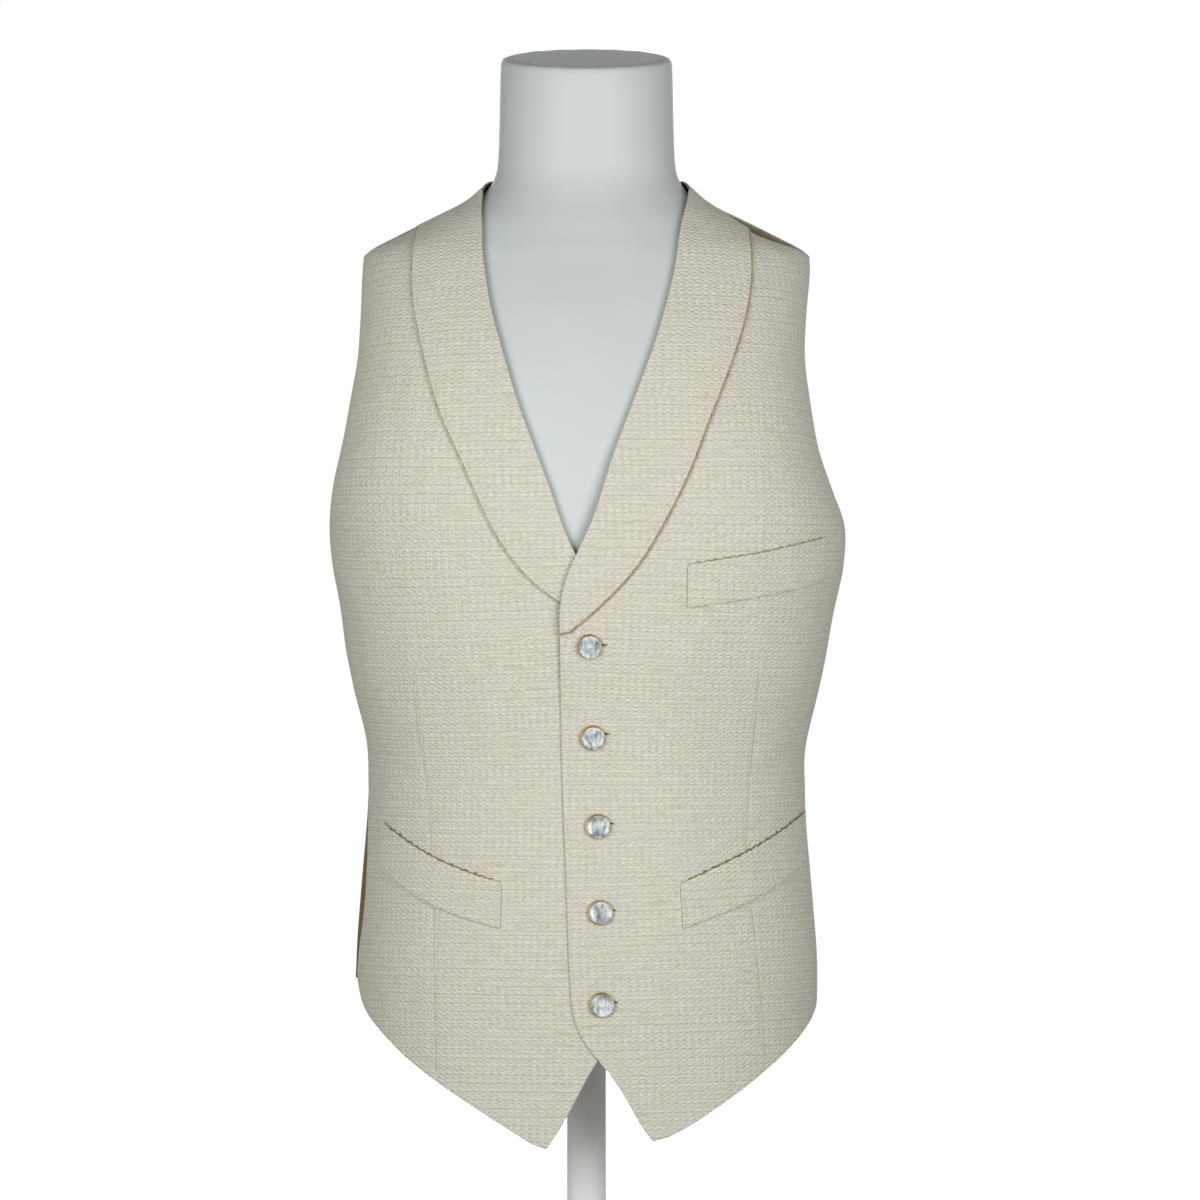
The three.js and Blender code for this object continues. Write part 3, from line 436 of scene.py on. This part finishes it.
def cut_edges(skin):
    """The open edge of a skin as ordered runs of (point, normal, way in), broken at its corners."""
    start = next(edge for edge in skin.edges if edge.is_boundary)
    loop = [start.verts[0], start.verts[1]]
    came = start
    while loop[-1] != loop[0]:
        came = next(edge for edge in loop[-1].link_edges if edge.is_boundary and edge != came)
        loop.append(came.other_vert(loop[-1]))
    loop.pop()
    count = len(loop)
    corners = []
    for at, vert in enumerate(loop):
        before = vert.co - loop[at - 1].co
        after = loop[(at + 1) % count].co - vert.co
        if before.angle(after) > math.radians(30):
            corners.append(at)
    runs = []
    for first, second in zip(corners, corners[1:] + [corners[0] + count]):
        run = [loop[at % count] for at in range(first, second + 1)]
        if len(run) < 6:
            continue
        points = []
        for at, vert in enumerate(run):
            along = run[min(at + 1, len(run) - 1)].co - run[max(at - 1, 0)].co
            way_in = vert.normal.cross(along).normalized()
            centres = [face.calc_center_median() for face in vert.link_faces]
            middle = sum(centres, Vector()) / len(centres)
            if way_in.dot(middle - vert.co) < 0:
                way_in = -way_in
            points.append((vert.co.copy(), vert.normal.copy(), way_in))
        runs.append(points)
    return runs


surface_of = {}
edges_of = {}


def cloth_piece(node, name, finishes, thickness, facing):
    """A finished sheet of cloth on the points of a CAD wall, with its own thickness and rounded edges."""
    skin = outer_cloth(node, facing)
    run_through_points(skin)
    piece = as_piece(skin, name, finishes)
    lay_threads(piece)
    smoothed(piece, 3)
    fine = bmesh.new()
    fine.from_object(piece, bpy.context.evaluated_depsgraph_get())
    fine.normal_update()
    surface_of[node] = BVHTree.FromBMesh(fine)
    edges_of[node] = cut_edges(fine)
    fine.free()
    wall = piece.modifiers.new("thickness", "SOLIDIFY")
    wall.thickness = thickness
    wall.offset = -1
    wall.material_offset = 1
    wall.material_offset_rim = 2
    fold = piece.modifiers.new("pressed_edge", "BEVEL")
    fold.width = thickness * 0.42
    fold.segments = 2
    fold.profile = 0.5
    fold.limit_method = "ANGLE"
    fold.angle_limit = math.radians(55)
    fold.material = -1
    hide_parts(node)
    return piece


FRONTWARD = Vector((0, -1, 0))
BACKWARD = Vector((0, 1, 0))

front_finishes = [suiting, lining, turned_suiting]
front_left = cloth_piece("front_left", "left_front_cloth", front_finishes, CLOTH, FRONTWARD)
front_right = cloth_piece("front_right", "right_front_cloth", front_finishes, CLOTH, FRONTWARD)


# The back, in two halves of golden-tan satin joined at the centre, taken round to the side seams and over the
# shoulders.
satin = satin_finish("golden_satin")
back_finishes = [satin, lining, satin]
back_left = cloth_piece("back_left", "left_back_satin", back_finishes, CLOTH, BACKWARD)
back_right = cloth_piece("back_right", "right_back_satin", back_finishes, CLOTH, BACKWARD)


# The shawl collar, one half for each front, of the same suiting laid on top and pressed flat.
COLLAR = 0.0011
folded_finishes = [suiting, suiting, turned_suiting]
collar_left = cloth_piece("shawl_collar_left", "left_collar_cloth", folded_finishes, COLLAR, FRONTWARD)
collar_right = cloth_piece("shawl_collar_right", "right_collar_cloth", folded_finishes, COLLAR, FRONTWARD)


# The three pocket welts: straight bands of suiting sewn down along the lower edge and at the ends, and open
# above.
welts = {
    "breast_welt": "breast_welt_cloth",
    "pocket_welt_left": "left_pocket_cloth",
    "pocket_welt_right": "right_pocket_cloth",
}
for node, name in welts.items():
    piece = cloth_piece(node, name, folded_finishes, CLOTH, FRONTWARD)


# What the tailor sewed, with painted shade beside it: a golden edge of the under-collar along the collar's
# rim, darkened as painted shade of the gap under the rim; a dark line in the mouth of each pocket, which is
# painted shade of the opening; the dart seams and the rows of small stitches that hold the edges and the
# welts.
EDGE_GOLD_AND_SHADE = (0.600, 0.440, 0.230, 1.0)
EDGE_BEIGE_AND_SHADE = (0.760, 0.680, 0.500, 1.0)
MOUTH_SHADE_COLOUR = (0.360, 0.240, 0.105, 1.0)
BREAST_SHADE_COLOUR = (0.540, 0.440, 0.270, 1.0)
SEAM_BEIGE = (0.740, 0.680, 0.520, 1.0)
THREAD = (0.640, 0.600, 0.480, 1.0)
PLY = 0.0006
COLLAR_STITCH = {"inset": 0.0028, "pitch": 0.0042, "length": 0.0012, "thickness": 0.00028}
FOOT_STITCH = {"inset": 0.0014, "pitch": 0.0026, "length": 0.0013, "thickness": 0.00026}
END_STITCH = {"inset": 0.0012, "pitch": 0.0022, "length": 0.0012, "thickness": 0.00028}
PIPING_STEP = 0.0012
MOUTH_SHADE_STEP = 0.0010
MOUTH_SHADE_DEPTH = 0.0016
DART_STEPS = 90
DART_THICKNESS = 0.0008


def thread_finish(name, colour, darkest=0.6):
    """Twisted sewing thread: fine diagonal plies over a colour that sinks in places to its darkest share."""
    material, shader, start = new_finish(name, Sheen_Weight=0.2, Sheen_Roughness=0.5, Specular_IOR_Level=0.3)
    place = start.make("ShaderNodeTexCoord", {}, out="Object")
    across, depth, height = place.axes()
    ply = ripple(across + height + depth * 0.5, PLY) * 0.5 + 0.5
    fleck = place.noise(1500.0, 2.0)
    worn = place.noise(160.0, 2.0)
    dark = tuple(value * darkest for value in colour[:3]) + (1.0,)
    feed(shader, "Base Color", (fleck * 0.4 + ply * 0.2 + worn * 0.6).between(0.4, 0.75).tint(dark, colour))
    feed(shader, "Roughness", fleck * 0.2 + 0.6)
    raise_bump(shader, ply * 0.6 + fleck * 0.4, 0.0002, 0.8)
    return material


gold_edge_and_shade = thread_finish("under_collar_gold_and_shade", EDGE_GOLD_AND_SHADE)
beige_edge_and_shade = thread_finish("under_collar_beige_and_shade", EDGE_BEIGE_AND_SHADE)
# Painted shade for the pocket openings: dark thread finishes with a low darkest share.
mouth_shade_finish = thread_finish("pocket_mouth_painted_shade", MOUTH_SHADE_COLOUR, 0.35)
breast_shade_finish = thread_finish("breast_mouth_painted_shade", BREAST_SHADE_COLOUR, 0.45)
seam_beige = thread_finish("pressed_seam", SEAM_BEIGE)
sewing = thread_finish("sewing_thread", THREAD)


def sewn(name, runs, thickness, finish):
    """One piece of thread laid along runs of (point, share of the full thickness)."""
    curve = bpy.data.curves.new(name, "CURVE")
    curve.dimensions = "3D"
    curve.bevel_depth = thickness / 2
    curve.bevel_resolution = 1
    curve.use_fill_caps = True
    for run in runs:
        spline = curve.splines.new("POLY")
        spline.points.add(len(run) - 1)
        for knot, (point, share) in zip(spline.points, run):
            knot.co = (*point, 1.0)
            knot.radius = share
    curve.materials.append(finish)
    piece = bpy.data.objects.new(name, curve)
    bpy.context.scene.collection.objects.link(piece)
    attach(piece, "root")
    return piece


def mean_of(run, axis):
    return sum(point[axis] for point, normal, way_in in run) / len(run)


def on_cloth(tree, point, lift):
    """The place on a cloth nearest to a point, stood off by a lift."""
    place, normal, *unused = tree.find_nearest(point)
    return place + normal * lift


def wave(number, *rates):
    """An uneven value of about 0 to 1 that is the same on every run."""
    return 0.5 + 0.5 * sum(math.sin(number * rate + rate * 3.0) for rate in rates) / len(rates)


def spaced(run, step):
    """The run's points again, one at each step of its length."""
    places = [run[0]]
    gone = 0.0
    for before, after in zip(run, run[1:]):
        length = (after[0] - before[0]).length
        while gone + length >= step:
            share = (step - gone) / length
            before = tuple(one.lerp(two, share) for one, two in zip(before, after))
            places.append(before)
            length = (after[0] - before[0]).length
            gone = 0.0
        gone += length
    return places


def stitches(name, run, tree, inset, pitch, length, thickness):
    """A row of single stitches at an inset from a cut edge."""
    row = []
    places = spaced(run, pitch)
    for here, there in zip(places, places[1:]):
        middle = here[0].lerp(there[0], 0.5) + here[2] * inset
        along = (there[0] - here[0]).normalized() * (length / 2)
        first, last = [on_cloth(tree, middle + way, -0.0001) for way in (-along, along)]
        crown = on_cloth(tree, middle, thickness * 0.35)
        row.append([(first, 0.6), (crown, 1.0), (last, 0.6)])
    return sewn(name, row, thickness, sewing)


# Each collar's rim line is partly the real edge of the under-collar and partly painted shade of the gap
# beneath the rim.
for side, finish, thickness in (("left", gold_edge_and_shade, 0.0017), ("right", beige_edge_and_shade, 0.0015)):
    runs = edges_of[f"shawl_collar_{side}"]
    collar_edge = max(runs, key=lambda run: abs(mean_of(run, 0)) * len(run))
    piping = []
    for count, (point, normal, way_in) in enumerate(spaced(collar_edge, PIPING_STEP)):
        out = 0.0004 + 0.0006 * wave(count, 0.31, 0.83, 1.7)
        piping.append((point - normal * 0.0007 - way_in * out, 0.45 + 0.6 * wave(count, 0.9, 2.3, 5.1)))
    sewn(f"{side}_under_collar", [piping], thickness, finish)
    tree = surface_of[f"shawl_collar_{side}"]
    stitches(f"{side}_collar_stitches", collar_edge, tree, **COLLAR_STITCH)

for node, short, finish, thickness in (
    ("breast_welt", "breast", breast_shade_finish, 0.0009),
    ("pocket_welt_left", "left", mouth_shade_finish, 0.0012),
    ("pocket_welt_right", "right", mouth_shade_finish, 0.0012),
):
    runs = edges_of[node]
    mouth = max(runs, key=lambda run: mean_of(run, 2) if len(run) > 20 else 0)
    foot = min(runs, key=lambda run: mean_of(run, 2) if len(run) > 20 else 9)
    rest = [run for run in runs if run not in (mouth, foot)]
    ends = sorted(rest, key=lambda run: abs(mean_of(run, 0)))
    # Painted shade: a dark, uneven line laid just inside the top of each welt stands for the shade in the
    # pocket opening.
    mouth_shade_line = []
    places = spaced(mouth, MOUTH_SHADE_STEP)
    for count, (point, normal, way_in) in enumerate(places):
        taper = min(1.0, 0.15 + count / 14, 0.15 + (len(places) - 1 - count) / 14)
        drop = MOUTH_SHADE_DEPTH * wave(count, 1.1, 2.9)
        place = point - normal * 0.0004 + way_in * (drop - 0.0010)
        mouth_shade_line.append((place, taper * (0.25 + 1.1 * wave(count, 0.7, 1.9))))
    sewn(f"{short}_pocket_mouth", [mouth_shade_line], thickness, finish)
    tree = surface_of[node]
    stitches(f"{short}_welt_foot_stitches", foot, tree, **FOOT_STITCH)
    for end, place in zip(ends, ("inner", "outer")):
        stitches(f"{short}_welt_{place}_stitches", end, tree, **END_STITCH)

DARTS = {
    "left": [(0.1123, 0.127), (0.1082, 0.1704), (0.1027, 0.2245), (0.0996, 0.2613), (0.1019, 0.3023),
             (0.1044, 0.328), (0.1084, 0.3838)],
    "right": [(-0.0931, 0.121), (-0.0944, 0.1883), (-0.0944, 0.2211), (-0.097, 0.2713), (-0.0996, 0.3024),
              (-0.1034, 0.3243), (-0.1096, 0.3807)],
}
for side, dart in DARTS.items():
    panel = surface_of[f"front_{side}"]
    seam = []
    heights = np.linspace(dart[0][1], dart[-1][1], DART_STEPS)
    sides = np.interp(heights, [z for x, z in dart], [x for x, z in dart])
    for count, (x, z) in enumerate(zip(sides, heights)):
        place, normal, *unused = panel.ray_cast(Vector((x, -0.5, z)), BACKWARD)
        seam.append((place - normal * 0.0001, min(1.0, 0.2 + (DART_STEPS - 1 - count) / 12)))
    sewn(f"{side}_dart_seam", [seam], DART_THICKNESS, seam_beige)


# The five shank buttons: a dished round of mother-of-pearl with a low lip, set in a golden cup, the button's
# metal rim.
# The cup is set up and to the left of the pearl so that it shows past its upper edge as painted shade there.
# Each comes through a buttonhole that is cut in the cloth and worked round with thread.
CUP_RADIUS = 0.0078
PEARL_RADIUS = 0.0071
BUTTON_THICKNESS = 0.0028
# Painted shade: the cup is moved up-left and the pearl down-right, so the gold shows only at the upper left.
CUP_SHADE_SHIFT = Matrix.Translation((-0.00015, 0.0002, 0.0))
PEARL_SHADE_SHIFT = Matrix.Translation((0.0002, -0.0003, 0.0))
HOLE_COLOUR = (0.120, 0.080, 0.050, 1.0)
HOLE_ENDS = {
    1: {"reach": 0.0113, "lift": 0.0009},
    2: {"reach": 0.0104, "lift": 0.0025},
    3: {"reach": 0.0103, "lift": 0.0019},
    4: {"reach": 0.0098, "lift": 0.0017},
    5: {"reach": 0.0100, "lift": 0.0015},
}

pearl_finish, shader, start = new_finish(
    "mother_of_pearl",
    Coat_Weight=0.8,
    Coat_Roughness=0.06,
    Specular_IOR_Level=0.7,
)
place = start.make("ShaderNodeTexCoord", {}, out="Object")
swirl = place.noise(150.0, 5.0)
layers = place.noise(480.0, 4.0, stretch=(1.0, 1.0, 0.45))
feed(shader, "Base Color", swirl.make(
    "ShaderNodeValToRGB",
    {"Fac": swirl * 0.6 + layers * 0.4},
    stops=[
        (0.38, (0.20, 0.23, 0.25, 1.0)),
        (0.46, (0.41, 0.46, 0.47, 1.0)),
        (0.53, (0.67, 0.70, 0.71, 1.0)),
        (0.60, (0.93, 0.93, 0.93, 1.0)),
    ],
))
feed(shader, "Roughness", layers * 0.3 + 0.1)
raise_bump(shader, swirl * 0.5 + layers * 0.5, 0.0006, 0.7)

cup_finish, shader, start = new_finish("golden_cup", Metallic=1.0)
place = start.make("ShaderNodeTexCoord", {}, out="Object")
tarnish = place.noise(900.0, 3.0)
feed(shader, "Base Color", tarnish.between(0.35, 0.7).tint((0.74, 0.50, 0.19, 1.0), (0.40, 0.26, 0.10, 1.0)))
feed(shader, "Roughness", tarnish * 0.3 + 0.25)

hole_shade = thread_finish("buttonhole_shade", HOLE_COLOUR)


def turned(profile, place, name, finish):
    """Spins an open profile of (radius, height) about its own axis, then sets it in its place."""
    skin = bmesh.new()
    points = [skin.verts.new((radius, 0, height)) for radius, height in profile]
    for first, second in zip(points, points[1:]):
        skin.edges.new((first, second))
    bmesh.ops.spin(
        skin,
        geom=skin.verts[:] + skin.edges[:],
        cent=(0, 0, 0),
        axis=(0, 0, 1),
        angle=2 * math.pi,
        steps=48,
        use_merge=True,
    )
    bmesh.ops.remove_doubles(skin, verts=skin.verts, dist=1e-6)
    bmesh.ops.recalc_face_normals(skin, faces=skin.faces)
    bmesh.ops.transform(skin, matrix=place, verts=skin.verts)
    return as_piece(skin, name, [finish])


for number in range(1, 6):
    node = f"button_{number}"
    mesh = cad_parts[node].data
    points = np.empty(len(mesh.vertices) * 3)
    mesh.vertices.foreach_get("co", points)
    points = points.reshape(-1, 3)
    low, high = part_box(node)
    centre = (low + high) / 2
    axis = Vector(np.linalg.svd(points - points.mean(0), full_matrices=False)[2][2])
    if axis.y > 0:
        axis = -axis
    side = Vector((1, 0, 0))
    side = (side - axis * side.dot(axis)).normalized()
    upright = axis.cross(side)
    seat = Matrix((side, upright, axis)).transposed().to_4x4()
    seat.translation = centre
    half = BUTTON_THICKNESS / 2
    cup = turned(
        [
            (0.0, -half),
            (CUP_RADIUS * 0.7, -half),
            (CUP_RADIUS * 0.9, -half * 0.8),
            (CUP_RADIUS * 0.985, -half * 0.35),
            (CUP_RADIUS, half * 0.05),
            (CUP_RADIUS * 0.985, half * 0.4),
            (CUP_RADIUS * 0.95, half * 0.55),
            (CUP_RADIUS * 0.9, half * 0.5),
            (CUP_RADIUS * 0.86, half * 0.2),
            (0.0, half * 0.2),
        ],
        seat @ CUP_SHADE_SHIFT,
        f"{node}_cup",
        cup_finish,
    )
    pearl = turned(
        [
            (0.0, 0.0),
            (PEARL_RADIUS * 0.96, 0.0),
            (PEARL_RADIUS * 0.99, half * 0.3),
            (PEARL_RADIUS, half * 0.6),
            (PEARL_RADIUS * 0.98, half * 0.88),
            (PEARL_RADIUS * 0.93, half),
            (PEARL_RADIUS * 0.86, half * 0.96),
            (PEARL_RADIUS * 0.74, half * 0.78),
            (PEARL_RADIUS * 0.5, half * 0.66),
            (PEARL_RADIUS * 0.25, half * 0.62),
            (0.0, half * 0.61),
        ],
        seat @ PEARL_SHADE_SHIFT,
        f"{node}_pearl",
        pearl_finish,
    )
    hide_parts(node)
    lift = HOLE_ENDS[number]["lift"]
    tree = surface_of["front_left"]
    slit = []
    worked = [[], []]
    for count, along in enumerate(np.linspace(0.003, HOLE_ENDS[number]["reach"], 14)):
        share = 1.0 if count < 9 else (13.6 - count) / 4.6
        slit.append((on_cloth(tree, centre + Vector((along, 0, lift)), 0.0), share))
        for row, way in zip(worked, (-1, 1)):
            beside = centre + Vector((along, 0, lift + way * (0.0003 + 0.0005 * share)))
            row.append((on_cloth(tree, beside, 0.00005), 0.7 + 0.3 * (count % 2)))
    sewn(f"{node}_hole_slit", [slit], 0.0011, hole_shade)
    sewn(f"{node}_hole_stitching", worked, 0.0006, sewing)


# The studio: a plain white floor under soft boxes, and the camera straight in front, a little higher than the
# top button.
SKY_ON_CLOTH = 0.24
CAMERA_DISTANCE = 3.4
CAMERA_HEIGHT = 0.415
CAMERA_SIDE = 0.00864
FRAME_WIDTH = 0.768
SENSOR = 36

floor_finish, shader, start = new_finish("studio_floor", Roughness=0.9)
place = start.make("ShaderNodeTexCoord", {}, out="Object")
feed(shader, "Base Color", place.noise(3.0).tint((0.94, 0.94, 0.94, 1.0), (0.92, 0.92, 0.92, 1.0)))
ground = bmesh.new()
bmesh.ops.create_grid(ground, x_segments=8, y_segments=8, size=1.6)
mesh = bpy.data.meshes.new("floor")
ground.to_mesh(mesh)
ground.free()
mesh.materials.append(floor_finish)
floor = bpy.data.objects.new("floor", mesh)
bpy.context.scene.collection.objects.link(floor)
floor.visible_diffuse = False
floor.visible_glossy = False

world = bpy.data.worlds.new("studio_white")
world.use_nodes = True
world.node_tree.nodes["Background"].inputs["Color"].default_value = (1, 1, 1, 1)
sky = Wire(world.node_tree)
seen = sky.make("ShaderNodeLightPath", {}, out="Is Camera Ray")
strength = world.node_tree.nodes["Background"].inputs["Strength"]
world.node_tree.links.new((seen * (1 - SKY_ON_CLOTH) + SKY_ON_CLOTH).socket, strength)
bpy.context.scene.world = world


def soft_box(name, place, target, size, power):
    """A square area light that looks at a point of the waistcoat."""
    light = bpy.data.lights.new(name, "AREA")
    light.shape = "SQUARE"
    light.size = size
    light.energy = power
    lamp = bpy.data.objects.new(name, light)
    lamp.location = place
    lamp.rotation_euler = (Vector(target) - Vector(place)).to_track_quat("-Z", "Y").to_euler()
    lamp.visible_camera = False
    bpy.context.scene.collection.objects.link(lamp)
    return lamp


soft_box("left_box", (-0.62, -1.1, 0.5), (0, -0.1, 0.5), 0.6, 6.5)
soft_box("right_box", (0.62, -1.1, 0.5), (0, -0.1, 0.5), 0.6, 6.5)
soft_box("back_box", (0.0, 1.8, 0.7), (0, 0, 0.4), 1.2, 16)
floor_box = soft_box("floor_box", (0.0, 0.0, 2.6), (0, 0, 0), 3.0, 120)
only_floor = bpy.data.collections.new("only_floor")
only_floor.objects.link(floor)
floor_box.light_linking.receiver_collection = only_floor

bpy.context.scene.view_settings.view_transform = "Standard"

lens = bpy.data.cameras.new("photo_camera")
lens.sensor_width = SENSOR
lens.lens = SENSOR * CAMERA_DISTANCE / FRAME_WIDTH
camera = bpy.data.objects.new("photo_camera", lens)
camera.location = (CAMERA_SIDE, -CAMERA_DISTANCE, CAMERA_HEIGHT)
camera.rotation_euler = (math.radians(90), 0, 0)
bpy.context.scene.collection.objects.link(camera)
bpy.context.scene.camera = camera
